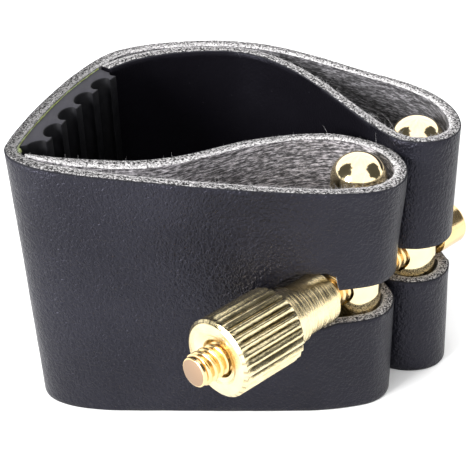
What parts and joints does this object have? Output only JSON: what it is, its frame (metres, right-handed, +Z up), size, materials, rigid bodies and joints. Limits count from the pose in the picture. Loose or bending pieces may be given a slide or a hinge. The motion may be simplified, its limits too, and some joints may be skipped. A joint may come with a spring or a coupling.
{
  "type": "saxophone ligature",
  "caption": "Leather strap ligature folded round two brass pins, closed by a cross screw with a knurled thumb nut, with a grooved rubber pad inside.",
  "frame": {"origin": "centre of the bounding box in X and Y, on the plane that the strap's lower edge stands on", "axes": "+X from the strap's crease to the pins, +Y away from the thumb nut, +Z up along the pins, which is along the mouthpiece in use"},
  "size_m": [0.0484, 0.0421, 0.03],
  "materials": {
    "leather": "fine-grained charcoal black, soft sheen, grey flesh side",
    "pad_rubber": "matt",
    "glue": "dried adhesive",
    "gold_brass": "polished gold plate"
  },
  "bodies": {
    "rear_band": {"strap_crease": "leather", "strap_rear_run": "leather", "strap_rear_loop": "leather", "strap_rear_lining": "leather", "groove_pad": "pad_rubber", "pad_glue": "glue"},
    "front_band": {"strap_front_run": "leather", "strap_front_loop": "leather", "strap_front_lining": "leather"},
    "rear_pin": {"rear_pin": "gold_brass", "clamp_screw": "gold_brass"},
    "front_pin": {"front_pin": "gold_brass"},
    "thumb_nut": {"thumb_nut": "gold_brass"}
  },
  "joints": [
    {"name": "band_flex", "type": "hinge", "parent": "rear_band", "child": "front_band", "pos_m": [-0.0233, -0.0047, 0.015], "axis": [0, 0, -1], "range_deg": [0, 5.12]},
    {"name": "rear_pin_swivel", "type": "hinge", "parent": "rear_band", "child": "rear_pin", "pos_m": [0.0174, 0.0024, 0.014], "axis": [0, 0, 1], "range_deg": [0, 10.83]},
    {"name": "front_pin_swivel", "type": "hinge", "parent": "front_band", "child": "front_pin", "pos_m": [0.011, -0.0039, 0.014], "axis": [0, 0, 1], "range_deg": [0, 15.95]},
    {"name": "nut_turn", "type": "hinge", "parent": "front_pin", "child": "thumb_nut", "pos_m": [0.011, -0.0039, 0.014], "axis": [-0.7127, -0.7015, 0], "range_deg": [0, 1080]}
  ],
  "couplings": [
    {"joint": "band_flex", "follows": "nut_turn", "ratio": 0.0047428},
    {"joint": "rear_pin_swivel", "follows": "nut_turn", "ratio": 0.010029},
    {"joint": "front_pin_swivel", "follows": "nut_turn", "ratio": 0.014772}
  ]
}
